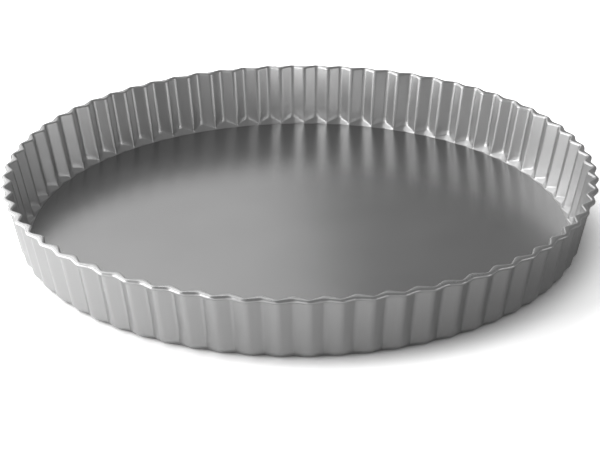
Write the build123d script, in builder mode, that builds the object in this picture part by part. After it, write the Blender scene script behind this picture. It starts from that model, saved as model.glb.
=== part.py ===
from build123d import *

# Fluted quiche dish with a loose bottom, in millimetres.
# A pressed steel ring with a fluted wall, a curled lip and a flat ledge at its foot
# carries a flat round base, which lifts straight out of it.
# The origin is at the middle of the foot, on the table, with +Z up.

import os
from math import asin, atan2, cos, hypot, pi, sin

# Overall sizes
rim_diameter = 280.0
dish_height = 31.0

# Sheet steel and flutes
sheet = 0.7
flute_count = 66
flute_depth = 2.9

# Foot: how far the ledge that carries the base reaches in under it
ledge_width = 8.0

# Lip: the bend at the top of the wall, the narrow land on its crest,
# and how deep its outer edge is scalloped
lip_bend = 1.3
lip_land = 0.2
lip_edge_depth = 1.3

# Loose base
base_diameter = 255.0
base_thickness = 0.8
base_clearance = 0.3
base_edge_bevel = 0.3

# Angles follow the flutes round the dish
flute_pitch = 2 * pi / flute_count


def polar(radius, turn):
    """Gives the point at this distance from the axis and this angle round it."""
    return (radius * cos(turn), radius * sin(turn))


def fluted_row(height, cusp, crown):
    """Makes the face of one closed row of flutes at this height: arcs that bulge out to the crown
    radius and meet in folds at the cusp radius."""
    with BuildSketch(Plane.XY.offset(height)) as row:
        with BuildLine():
            for flute in range(flute_count):
                turn = flute * flute_pitch
                middle = polar(crown, turn + flute_pitch / 2)
                ThreePointArc(polar(cusp, turn), middle, polar(cusp, turn + flute_pitch))
        make_face()
    return row.sketch


# The wall leans outwards from the corner where it meets the ledge, and is tangent to the lip's bend
corner = base_diameter / 2 + base_clearance
lip_centre = rim_diameter / 2 - lip_bend - lip_land - flute_depth
rise = dish_height - lip_bend - sheet
reach = lip_centre - corner
wall_slope = atan2(reach, rise) - asin(lip_bend / hypot(reach, rise))


def foot_row(bend, angle):
    """Gives the height and radii of the foot's bend round that corner, at this angle below the
    horizontal."""
    cusp = corner + bend * cos(angle)
    return sheet - bend * sin(angle), cusp, cusp + flute_depth


def lip_row(bend, angle):
    """Gives the height and radii of the lip's inner bend at this angle above the horizontal."""
    cusp = lip_centre - bend * cos(angle)
    return dish_height - lip_bend + bend * sin(angle), cusp, cusp + flute_depth


def edge_row(angle):
    """Gives the height and radii of the lip's outer curve at this angle above the horizontal."""
    crown = rim_diameter / 2 - lip_bend * (1 - cos(angle))
    return dish_height - lip_bend + lip_bend * sin(angle), crown - lip_edge_depth, crown


outer_rows = [
    foot_row(sheet, pi / 2),
    foot_row(sheet, wall_slope),
    lip_row(lip_bend - sheet, wall_slope),
    edge_row(0),
    edge_row(pi / 4),
    edge_row(pi / 2),
]
inner_rows = [
    foot_row(0, wall_slope),
    lip_row(lip_bend, wall_slope),
    lip_row(lip_bend, pi / 2),
]

# The ring: the outside of the pressing, less its hollow, less the opening inside the ledge
with BuildPart() as fluted_ring:
    loft([fluted_row(*row) for row in outer_rows], ruled=True)
    loft([fluted_row(*row) for row in inner_rows], ruled=True, mode=Mode.SUBTRACT)
    with BuildSketch(Plane.XY):
        Circle(base_diameter / 2 - ledge_width)
    extrude(amount=sheet, mode=Mode.SUBTRACT)

# The loose base: a flat disc that lies on the ledge
with BuildPart() as loose_base:
    with BuildSketch(Plane.XY.offset(sheet)):
        Circle(base_diameter / 2)
    extrude(amount=base_thickness)
    chamfer(loose_base.edges().group_by(Axis.Z)[-1], length=base_edge_bevel)

fluted_ring.part.label = "fluted_ring"
loose_base.part.label = "loose_base"

os.makedirs("parts", exist_ok=True)
export_step(fluted_ring.part, "parts/fluted_ring.step")
export_step(loose_base.part, "parts/loose_base.step")
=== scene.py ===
from math import asin, atan2, cos, hypot, pi, radians, sin, tan

import bmesh
import bpy
from mathutils import Matrix, Vector


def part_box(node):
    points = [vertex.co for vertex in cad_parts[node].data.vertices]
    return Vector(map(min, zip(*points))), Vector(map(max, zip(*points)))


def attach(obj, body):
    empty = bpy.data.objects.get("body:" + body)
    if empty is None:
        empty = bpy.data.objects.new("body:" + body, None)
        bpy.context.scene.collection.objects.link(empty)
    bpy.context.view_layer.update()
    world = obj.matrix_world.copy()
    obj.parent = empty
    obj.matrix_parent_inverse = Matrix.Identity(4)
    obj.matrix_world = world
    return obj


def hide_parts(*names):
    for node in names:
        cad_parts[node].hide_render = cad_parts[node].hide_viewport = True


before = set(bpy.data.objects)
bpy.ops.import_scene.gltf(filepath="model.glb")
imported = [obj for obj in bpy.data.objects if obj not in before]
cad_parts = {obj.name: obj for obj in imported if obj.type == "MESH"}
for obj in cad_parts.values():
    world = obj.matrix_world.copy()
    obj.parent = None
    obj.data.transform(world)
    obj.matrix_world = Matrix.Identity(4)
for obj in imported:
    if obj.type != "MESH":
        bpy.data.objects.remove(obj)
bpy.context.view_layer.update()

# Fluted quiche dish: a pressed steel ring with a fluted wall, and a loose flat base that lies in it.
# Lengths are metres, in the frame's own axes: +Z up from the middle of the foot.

mm = 0.001

# Sizes read from the frame
ring_low, ring_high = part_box("fluted_ring")
base_low, base_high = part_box("loose_base")
rim_radius = ring_high.y - 0.5 * mm
dish_height = ring_high.z
sheet = base_low.z
base_radius = base_high.y
base_top = base_high.z

# Flutes: flat flanks lean this far from the rim's line, between a rounded crown and a fold, which
# is measured on the inside of the dish, where it stands out as a ridge
flute_count = 66
flute_pitch = 2 * pi / flute_count
flute_depth = 2.9 * mm
flank_lean = radians(30)
flute_fold = 2.9 * mm
fold_steps = 4
flank_steps = 1
crown_steps = 8
steps_per_flute = crown_steps + 2 * (fold_steps + flank_steps)

# Foot of the ring: a tight bend, above which each flute runs in to a shallow depth in a scoop that
# is low at the folds and higher at the crown
ledge_width = 8 * mm
foot_clearance = 1.0 * mm
foot_bend = 1.2 * mm
foot_flute_depth = 0.9 * mm
fold_scoop = 1.3 * mm
crown_scoop = 2.7 * mm
foot_steps = 7
support = 0.3 * mm

# Lip of the ring: the inner bend, the land on its crest and the curl that hangs over outside
lip_bend = 1.1 * mm
lip_land = 0.1 * mm
lip_curl = 1.1 * mm
lip_curl_turn = radians(125)
lip_edge_depth = 1.6 * mm
lip_steps = 5
curl_steps = 9

# Light: the room and the floor as shades of white, and the softboxes as direction in degrees
# (azimuth from the dish's right, counter-clockwise, and elevation), distance, width, height and
# brightness. The floor's values are how white it shows to the camera and in the metal: left of the dish, as
# painted light, right of it, as painted shade, and further away.
# It has a painted contact shadow at the contact line, and to the camera painted shade near the dish that
# fades to white between the near and the far distance.
room_light = 0.24
floor_grey = 0.85
# Painted light on the floor left of the dish and painted shade right of it, as the camera and the metal see
# it.
floor_seen_left_painted_light = 1.5
floor_seen_right_painted_shade = 0.66
floor_seen_far = 3.4
# Painted shade round the dish: to the camera the floor fades from its near value to white between these
# distances.
floor_near = 0.124
floor_far = 0.15
# Painted contact shadow: the floor is darkened in a band of this width round this radius.
contact_shadow_line = base_radius + foot_clearance + 1 * mm
contact_shadow_width = 4 * mm
softboxes = [
    ("low left", 180, 8, 0.6, 0.95, 0.15, 4.0),
    ("upper left", 190, 24, 1.2, 1.1, 0.4, 2.6),
    ("high left", 180, 50, 1.2, 1.0, 0.8, 0.9),
    ("high back left", 125, 52, 1.2, 1.0, 0.6, 1.2),
    ("back left", 130, 27, 1.2, 0.9, 0.4, 1.3),
    ("back", 108, 30, 1.2, 0.8, 0.5, 0.6),
    ("low back", 90, 9, 1.2, 1.4, 0.3, 0.4),
    ("front left", 242, 14, 1.2, 0.6, 0.4, 0.8),
    ("front right", 328, 8, 1.2, 0.9, 0.24, 1.6),
]


def flute_shape():
    """Gives one flute as pairs of shares, from one fold up to the next: how far round the flute each
    step lies, and how far out it stands. It is drawn flat, as it runs at the top of the wall."""
    width = flute_pitch * (rim_radius - lip_curl - lip_bend - flute_depth / 2)
    half_lean = (1 - cos(flank_lean)) / sin(flank_lean)
    flank = (flute_depth - width / 2 * half_lean) / (sin(flank_lean) - cos(flank_lean) * half_lean)
    crown_bend = (width / 2 - flank * cos(flank_lean)) / sin(flank_lean) - flute_fold
    points = []
    for step in range(fold_steps):
        turn = flank_lean * step / fold_steps
        points.append(Vector((flute_fold * sin(turn), flute_fold * (1 - cos(turn)))))
    flank_start = flute_fold * Vector((sin(flank_lean), 1 - cos(flank_lean)))
    for step in range(flank_steps):
        along = flank * step / flank_steps
        points.append(flank_start + along * Vector((cos(flank_lean), sin(flank_lean))))
    for step in range(crown_steps // 2 + 1):
        turn = flank_lean * (1 - 2 * step / crown_steps)
        out = flute_depth - crown_bend * (1 - cos(turn))
        points.append(Vector((width / 2 - crown_bend * sin(turn), out)))
    shares = [(point.x / width, point.y / flute_depth) for point in points]
    return shares + [(1 - share, rise) for share, rise in reversed(shares[1:-1])]


def arc_points(centre, radius, start, end, steps):
    """Gives points of radius and height along an arc, between two angles above the horizontal."""
    turns = [start + (end - start) * step / steps for step in range(steps + 1)]
    return [centre + radius * Vector((cos(turn), sin(turn))) for turn in turns]


def side_line(out, edge_out, foot_out, scoop):
    """Gives the inner face of the ring up one line of a flute, as points of radius and height, from
    the ledge's edge over the foot bend, up the wall and over the lip to its hidden edge. The wall
    stands this far out from the folds, the lip's edge and the foot this far, and the foot's scoop
    rises this far above the ledge."""
    corner = base_radius + foot_clearance + out
    bend_centre = Vector((rim_radius - lip_curl - lip_land - flute_depth + out, dish_height - lip_bend))
    curl_centre = Vector((rim_radius - lip_curl - lip_edge_depth + edge_out, dish_height - lip_curl))
    rise = bend_centre.y - sheet
    reach = bend_centre.x - corner
    slope = atan2(reach, rise) - asin(lip_bend / hypot(reach, rise))
    wall_foot = Vector((corner + scoop * tan(slope), sheet + scoop))
    foot_corner = Vector((base_radius + foot_clearance + foot_out, sheet))
    lean = atan2(wall_foot.x - foot_corner.x, scoop)
    run = foot_bend * (1 - sin(lean)) / cos(lean)
    ledge_edge = base_radius - ledge_width
    foot_centre = Vector((foot_corner.x - run, sheet + foot_bend))
    foot = arc_points(foot_centre, foot_bend, -pi / 2, -lean, foot_steps)
    bend = arc_points(bend_centre, lip_bend, pi - slope, pi / 2, lip_steps)
    curl = arc_points(curl_centre, lip_curl, pi / 2, pi / 2 - lip_curl_turn, curl_steps)
    wall = [foot[-1].lerp(wall_foot, share) for share in (0.1, 0.5, 0.85)]
    wall_length = (bend[0] - wall_foot).length
    wall += [wall_foot.lerp(bend[0], share) for share in (support / wall_length, 0.1, 0.2, 0.35, 0.65)]
    wall.append(bend[0].lerp(wall_foot, support / wall_length))
    ledge = [Vector((radius, sheet)) for radius in (ledge_edge, ledge_edge + support, foot[0].x - support)]
    return ledge + foot + wall + bend + curl


def ring_rows():
    """Gives the rows of the ring's inner face, each as its point at a fold, its point at a crown, how
    far the flute has softened into a wave there, as it does over the curl, and how far it has rounded
    into an arch, as it does down at the foot."""
    fold_line = side_line(0, 0, 0, fold_scoop)
    crown_line = side_line(flute_depth, lip_edge_depth, foot_flute_depth, crown_scoop)
    rows = []
    for index, (fold, crown) in enumerate(zip(fold_line, crown_line)):
        steps_on_curl = index - (len(fold_line) - curl_steps - 1)
        softness = 0 if steps_on_curl < 0 else 0.4 * steps_on_curl / curl_steps
        height_share = (fold.y - sheet) / (dish_height - sheet)
        arch = max(0, 1 - 3 * height_share) ** 2
        rows.append((fold, crown, softness, arch))
    return rows


def spin_rows(points, steps):
    """Makes a mesh by spinning points of radius and height a full turn about the dish's axis."""
    mesh = bmesh.new()
    row_layer = mesh.verts.layers.int.new("row")
    verts = []
    for index, point in enumerate(points):
        vert = mesh.verts.new((point[0], 0, point[1]))
        vert[row_layer] = index
        verts.append(vert)
    edges = [mesh.edges.new(pair) for pair in zip(verts, verts[1:])]
    bmesh.ops.spin(
        mesh, geom=verts + edges, cent=(0, 0, 0), axis=(0, 0, 1), angle=2 * pi, steps=steps, use_merge=True
    )
    bmesh.ops.remove_doubles(mesh, verts=mesh.verts, dist=0.001 * mm)
    bmesh.ops.recalc_face_normals(mesh, faces=mesh.faces)
    return mesh, row_layer


def to_object(name, mesh, material):
    """Turns a bmesh into a smooth-shaded object with one material."""
    data = bpy.data.meshes.new(name)
    mesh.to_mesh(data)
    mesh.free()
    data.materials.append(material)
    data.shade_smooth()
    piece = bpy.data.objects.new(name, data)
    bpy.context.scene.collection.objects.link(piece)
    return piece


def make_ring(coating, cut_steel):
    """Makes the fluted ring: its inner face is spun, pressed into flutes and given the sheet's
    thickness outwards, and its cut edges take the bare steel material."""
    rows = ring_rows()
    shape = flute_shape()
    steps = flute_count * steps_per_flute
    mesh, row_layer = spin_rows([fold for fold, crown, softness, arch in rows], steps)
    for vert in mesh.verts:
        fold, crown, softness, arch = rows[vert[row_layer]]
        step = round(atan2(vert.co.y, vert.co.x) / (2 * pi) * steps) % steps
        flute, part = divmod(step, steps_per_flute)
        share, rise = shape[part]
        wave = 0.5 - 0.5 * cos(2 * pi * share)
        rise = rise * (1 - softness - arch) + softness * wave + arch * sin(pi * share)
        radius, height = fold.lerp(crown, rise)
        turn = (flute + share) * flute_pitch
        vert.co = Vector((radius * cos(turn), radius * sin(turn), height))
    if sum(face.normal.z for face in mesh.faces if face.calc_center_median().z < sheet + 0.01 * mm) < 0:
        bmesh.ops.reverse_faces(mesh, faces=mesh.faces)
    ring = to_object("ring", mesh, coating)
    ring.data.materials.append(cut_steel)
    thickness = ring.modifiers.new("sheet thickness", "SOLIDIFY")
    thickness.thickness = sheet
    thickness.offset = -1
    thickness.use_even_offset = True
    thickness.use_quality_normals = True
    thickness.material_offset_rim = 1
    return ring


def make_base(coating):
    """Makes the loose base: a flat disc with an eased edge."""
    ease = 0.25 * mm
    ease_steps = 4
    rows = [(0, base_low.z), (base_radius / 2, base_low.z), (base_radius - 3 * ease, base_low.z)]
    for step in range(ease_steps + 1):
        turn = pi / 2 * step / ease_steps
        rows.append((base_radius - ease * (1 - sin(turn)), base_low.z + ease * (1 - cos(turn))))
    for step in range(ease_steps + 1):
        turn = pi / 2 * step / ease_steps
        rows.append((base_radius - ease * (1 - cos(turn)), base_top - ease * (1 - sin(turn))))
    rows += [(base_radius - 3 * ease, base_top), (base_radius / 2, base_top), (0, base_top)]
    mesh, row_layer = spin_rows(rows, 360)
    return to_object("base", mesh, coating)


def node_kit(tree):
    """Gives two short helpers for one node tree: one adds a node, the other adds a sum."""
    nodes, links = tree.nodes, tree.links

    def add(kind, **inputs):
        node = nodes.new(kind)
        for name, value in inputs.items():
            socket = node.inputs[name.replace("_", " ")]
            if isinstance(value, bpy.types.NodeSocket):
                links.new(value, socket)
            else:
                socket.default_value = value
        return node

    def work_out(operation, *values, clamp=False):
        node = nodes.new("ShaderNodeMath")
        node.operation = operation
        node.use_clamp = clamp
        for socket, value in zip(node.inputs, values):
            if isinstance(value, bpy.types.NodeSocket):
                links.new(value, socket)
            else:
                socket.default_value = value
        return node.outputs[0]

    return add, work_out


def new_group(name, inputs, outputs):
    """Starts a node group with named inputs, each a kind and a value, and named value outputs."""
    tree = bpy.data.node_groups.new(name, "ShaderNodeTree")
    for socket, (kind, value) in inputs.items():
        made = tree.interface.new_socket(name=socket, in_out="INPUT", socket_type=kind)
        if value is not None:
            made.default_value = value
    for socket in outputs:
        tree.interface.new_socket(name=socket, in_out="OUTPUT", socket_type="NodeSocketFloat")
    add, work_out = node_kit(tree)
    return tree, add("NodeGroupInput").outputs, add("NodeGroupOutput").inputs, add, work_out


def sprayed_grain():
    """Group: the sprayed coating's own surface, from its fine grain and its orange peel to slow
    changes of tone across the sheet. Sizes are in millimetres."""
    inputs = {
        "Place": ("NodeSocketVector", None),
        "Grain Size": ("NodeSocketFloat", 0.3),
        "Peel Size": ("NodeSocketFloat", 2.5),
        "Patch Size": ("NodeSocketFloat", 40),
    }
    tree, given, result, add, work_out = new_group("sprayed grain", inputs, ("Height", "Tone", "Gloss"))
    waves = {}
    for name in ("Grain", "Peel", "Patch"):
        per_metre = work_out("DIVIDE", 1000, given[name + " Size"])
        noise = add("ShaderNodeTexNoise", Vector=given["Place"], Scale=per_metre, Detail=2.0, Roughness=0.5)
        waves[name] = noise.outputs["Fac"]
    height = work_out("ADD", work_out("MULTIPLY", waves["Grain"], 0.06), waves["Peel"])
    gloss = work_out("MULTIPLY", work_out("ADD", waves["Grain"], waves["Patch"]), 0.5)
    tree.links.new(height, result["Height"])
    tree.links.new(waves["Patch"], result["Tone"])
    tree.links.new(gloss, result["Gloss"])
    return tree


def draw_lines():
    """Group: faint lines that the press leaves up the wall, the same width all round the dish."""
    inputs = {"Place": ("NodeSocketVector", None), "Line Width": ("NodeSocketFloat", 1.2)}
    tree, given, result, add, work_out = new_group("draw lines", inputs, ("Lines",))
    apart = add("ShaderNodeSeparateXYZ", Vector=given["Place"])
    flat = add("ShaderNodeCombineXYZ", X=apart.outputs["X"], Y=apart.outputs["Y"])
    outward = add("ShaderNodeVectorMath")
    outward.operation = "NORMALIZE"
    tree.links.new(flat.outputs[0], outward.inputs[0])
    round_the_dish = add("ShaderNodeSeparateXYZ", Vector=outward.outputs[0])
    stretch = 0.04
    along = add(
        "ShaderNodeCombineXYZ",
        X=work_out("MULTIPLY", round_the_dish.outputs["X"], rim_radius),
        Y=work_out("MULTIPLY", round_the_dish.outputs["Y"], rim_radius),
        Z=work_out("MULTIPLY", apart.outputs["Z"], stretch),
    )
    per_metre = work_out("DIVIDE", 1000, given["Line Width"])
    noise = add("ShaderNodeTexNoise", Vector=along.outputs[0], Scale=per_metre, Detail=2.0)
    tree.links.new(noise.outputs["Fac"], result["Lines"])
    return tree


def worn_edge_and_painted_highlight():
    """Group: a mask for the crest of an edge, in small spots: wear where handling has taken the coating
    off, and a painted highlight along the crest. It rises over a band of heights, in millimetres."""
    inputs = {
        "Place": ("NodeSocketVector", None),
        "Crest": ("NodeSocketFloat", 31.0),
        "Band": ("NodeSocketFloat", 1.0),
        "Spot Size": ("NodeSocketFloat", 1.5),
        "Amount": ("NodeSocketFloat", 0.5),
    }
    tree, given, result, add, work_out = new_group("worn edge and painted highlight", inputs, ("Wear And Highlight",))
    height = work_out("MULTIPLY", add("ShaderNodeSeparateXYZ", Vector=given["Place"]).outputs["Z"], 1000)
    below = work_out("SUBTRACT", given["Crest"], height)
    near = work_out("SUBTRACT", 1, work_out("DIVIDE", below, given["Band"]), clamp=True)
    per_metre = work_out("DIVIDE", 1000, given["Spot Size"])
    noise = add("ShaderNodeTexNoise", Vector=given["Place"], Scale=per_metre, Detail=3.0)
    spots = add("ShaderNodeMapRange", Value=noise.outputs["Fac"], From_Min=0.45, From_Max=0.62)
    wear_and_highlight = work_out("MULTIPLY", work_out("MULTIPLY", near, spots.outputs[0]), given["Amount"])
    tree.links.new(wear_and_highlight, result["Wear And Highlight"])
    return tree


def place_group(add, material, tree, **inputs):
    """Places a shared group in a material with its own values."""
    node = material.node_tree.nodes.new("ShaderNodeGroup")
    node.node_tree = tree
    for name, value in inputs.items():
        socket = node.inputs[name.replace("_", " ")]
        if isinstance(value, bpy.types.NodeSocket):
            material.node_tree.links.new(value, socket)
        else:
            socket.default_value = value
    return node.outputs


def grey_of(add, value):
    """Makes a grey from one value."""
    return add("ShaderNodeCombineColor", Red=value, Green=value, Blue=value).outputs[0]


def new_material(name, metallic):
    """Makes a node material and gives it with its helpers, its shader and the piece's own place."""
    material = bpy.data.materials.new(name)
    material.use_nodes = True
    add, work_out = node_kit(material.node_tree)
    shader = material.node_tree.nodes["Principled BSDF"]
    shader.inputs["Metallic"].default_value = metallic
    place = add("ShaderNodeTexCoord").outputs["Object"]
    return material, shader, place, add, work_out


def coated_steel(name, groups, grey, roughness, lines, crest, wear_and_highlight):
    """Satin grey non-stick coating on steel sheet: sprayed grain, faint press lines on a drawn wall,
    and an edge that is lighter in spots along its crest: wear where it is handled, and a painted highlight."""
    material, shader, place, add, work_out = new_material(name, 0.92)
    links = material.node_tree.links
    grain = place_group(add, material, groups["grain"], Place=place)
    streaks = place_group(add, material, groups["lines"], Place=place)["Lines"]
    wear_and_highlight_mask = place_group(add, material, groups["edge"], Place=place, Crest=crest / mm, Amount=wear_and_highlight)["Wear And Highlight"]
    tone = work_out("ADD", grain["Tone"], work_out("MULTIPLY", streaks, lines))
    shade = add("ShaderNodeMapRange", Value=tone, From_Min=0.25, From_Max=0.75 + lines)
    shade.inputs["To Min"].default_value = grey * 0.96
    shade.inputs["To Max"].default_value = grey * 1.04
    # Lighter grey in spots along the crest: wear from handling, and a painted highlight along the lip's
    # crest.
    colour = add("ShaderNodeMix")
    colour.data_type = "RGBA"
    links.new(wear_and_highlight_mask, colour.inputs[0])
    links.new(grey_of(add, shade.outputs[0]), colour.inputs["A"])
    colour.inputs["B"].default_value = (0.62, 0.62, 0.62, 1)
    links.new(colour.outputs["Result"], shader.inputs["Base Color"])
    satin = add("ShaderNodeMapRange", Value=grain["Gloss"], From_Min=0.3, From_Max=0.7)
    satin.inputs["To Min"].default_value = roughness - 0.015
    satin.inputs["To Max"].default_value = roughness + 0.015
    worn_smooth = work_out("SUBTRACT", satin.outputs[0], work_out("MULTIPLY", wear_and_highlight_mask, 0.05))
    links.new(worn_smooth, shader.inputs["Roughness"])
    height = work_out("ADD", grain["Height"], work_out("MULTIPLY", streaks, lines))
    bump = add("ShaderNodeBump", Strength=1.0, Distance=0.006 * mm, Height=height)
    links.new(bump.outputs[0], shader.inputs["Normal"])
    return material


def bare_steel(groups):
    """Bare steel of the sheet's cut edges, with a fine grain and bumps; the lines that the shears draw are
    not made.
    """
    material, shader, place, add, work_out = new_material("cut steel edge", 1)
    links = material.node_tree.links
    grain = place_group(add, material, groups["grain"], Place=place, Grain_Size=0.15, Peel_Size=0.6)
    shade = add("ShaderNodeMapRange", Value=grain["Height"], To_Min=0.45, To_Max=0.65)
    links.new(grey_of(add, shade.outputs[0]), shader.inputs["Base Color"])
    gloss = add("ShaderNodeMapRange", Value=grain["Gloss"], To_Min=0.3, To_Max=0.5)
    links.new(gloss.outputs[0], shader.inputs["Roughness"])
    bump = add("ShaderNodeBump", Strength=1.0, Distance=0.01 * mm, Height=grain["Height"])
    links.new(bump.outputs[0], shader.inputs["Normal"])
    return material


def add_softbox(name, azimuth, elevation, away, width, height, brightness):
    """Adds a soft rectangular lamp that faces the dish from this direction, in degrees, this far
    away, and shows this bright in the metal, where white is 1."""
    light = bpy.data.lights.new(name, "AREA")
    light.shape = "RECTANGLE"
    light.size = width
    light.size_y = height
    light.energy = brightness * pi * width * height
    lamp = bpy.data.objects.new(name, light)
    round_turn, lift = radians(azimuth), radians(elevation)
    direction = Vector((cos(lift) * cos(round_turn), cos(lift) * sin(round_turn), sin(lift)))
    lamp.location = direction * away
    lamp.rotation_euler = direction.to_track_quat("Z", "Y").to_euler()
    bpy.context.scene.collection.objects.link(lamp)


def make_floor():
    """Lays the white floor, which keeps the dish's shadow. As the camera and the metal see it, it has a
    painted contact shadow, painted light on its left and painted shade on its right; to the camera it also
    has painted shade near the dish, which grows whiter away from it."""
    mesh = bmesh.new()
    under = Matrix.Translation((0, 0, -0.05 * mm))
    bmesh.ops.create_grid(mesh, x_segments=1, y_segments=1, size=6, matrix=under)
    material, shader, place, add, work_out = new_material("floor", 0)
    path = add("ShaderNodeLightPath")
    camera = path.outputs["Is Camera Ray"]
    metal = work_out("MAXIMUM", path.outputs["Is Glossy Ray"], path.outputs["Is Transmission Ray"])
    seen = work_out("MAXIMUM", camera, metal)
    level = add("ShaderNodeVectorMath", Vector=place)
    level.operation = "MULTIPLY"
    level.inputs[1].default_value = (1, 1, 0)
    distance = add("ShaderNodeVectorMath", Vector=level.outputs[0])
    distance.operation = "LENGTH"
    away = distance.outputs["Value"]
    # Painted shade: to the camera the floor is darker near the dish and whiter further out.
    painted_shade_ramp = add("ShaderNodeMapRange", Value=away, From_Min=floor_near, From_Max=floor_far)
    painted_shade_ramp.interpolation_type = "SMOOTHSTEP"
    far = work_out("MULTIPLY", painted_shade_ramp.outputs[0], camera)
    # Painted light and shade: the floor shows lighter left of the dish and darker right of it, to the
    # camera and in the metal.
    across = add("ShaderNodeSeparateXYZ", Vector=place).outputs["X"]
    painted_side_light_and_shade = add("ShaderNodeMapRange", Value=across, From_Min=-rim_radius, From_Max=rim_radius)
    painted_side_light_and_shade.inputs["To Min"].default_value = floor_seen_left_painted_light
    painted_side_light_and_shade.inputs["To Max"].default_value = floor_seen_right_painted_shade
    # Painted contact shadow: the floor is darkened down to 0.35 round the contact line, to the camera and
    # in the metal.
    painted_contact_shadow = add("ShaderNodeMapRange", Value=away)
    painted_contact_shadow.inputs["From Min"].default_value = contact_shadow_line - contact_shadow_width / 2
    painted_contact_shadow.inputs["From Max"].default_value = contact_shadow_line + contact_shadow_width / 2
    painted_contact_shadow.inputs["To Min"].default_value = 0.35
    near = work_out("MULTIPLY", painted_side_light_and_shade.outputs[0], painted_contact_shadow.outputs[0])
    bright = add("ShaderNodeMapRange", Value=far, To_Min=near, To_Max=floor_seen_far)
    white = add("ShaderNodeMapRange", Value=seen, To_Min=floor_grey, To_Max=bright.outputs[0])
    material.node_tree.links.new(grey_of(add, white.outputs[0]), shader.inputs["Base Color"])
    shader.inputs["Roughness"].default_value = 0.9
    shader.inputs["Specular IOR Level"].default_value = 0
    floor = to_object("floor", mesh, material)


def light_the_room():
    """Sets the even light of the room and the softboxes."""
    world = bpy.data.worlds.new("room")
    bpy.context.scene.world = world
    world.use_nodes = True
    background = world.node_tree.nodes["Background"]
    background.inputs["Color"].default_value = (1, 1, 1, 1)
    background.inputs["Strength"].default_value = room_light
    for softbox in softboxes:
        add_softbox(*softbox)


def place_camera():
    """Places the camera where the photograph was taken from."""
    scene = bpy.context.scene
    camera = bpy.data.objects.new("camera", bpy.data.cameras.new("camera"))
    scene.collection.objects.link(camera)
    camera.data.sensor_width = 36
    camera.data.lens = 1799 / 600 * 36
    distance, azimuth, elevation, roll = 0.860, radians(-91.525), radians(24.93), radians(0.33)
    direction = Vector((cos(elevation) * cos(azimuth), cos(elevation) * sin(azimuth), sin(elevation)))
    turn = direction.to_track_quat("Z", "Y").to_matrix().to_4x4()
    camera.matrix_world = Matrix.Translation(direction * distance) @ turn @ Matrix.Rotation(-roll, 4, "Z")
    camera.data.clip_start = 0.01
    scene.camera = camera


groups = {"grain": sprayed_grain(), "lines": draw_lines(), "edge": worn_edge_and_painted_highlight()}
# The ring's crest is lighter in spots: wear and a painted highlight; the base has neither.
coating = coated_steel("ring coating", groups, 0.54, 0.3, 0.6, dish_height, 0.5)
plate_coating = coated_steel("base coating", groups, 0.42, 0.24, 0, base_top, 0)
cut_steel = bare_steel(groups)
ring = make_ring(coating, cut_steel)
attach(ring, "ring")
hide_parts("fluted_ring")
base = make_base(plate_coating)
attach(base, "base")
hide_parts("loose_base")
make_floor()
light_the_room()
place_camera()
bpy.context.scene.view_settings.view_transform = "Standard"
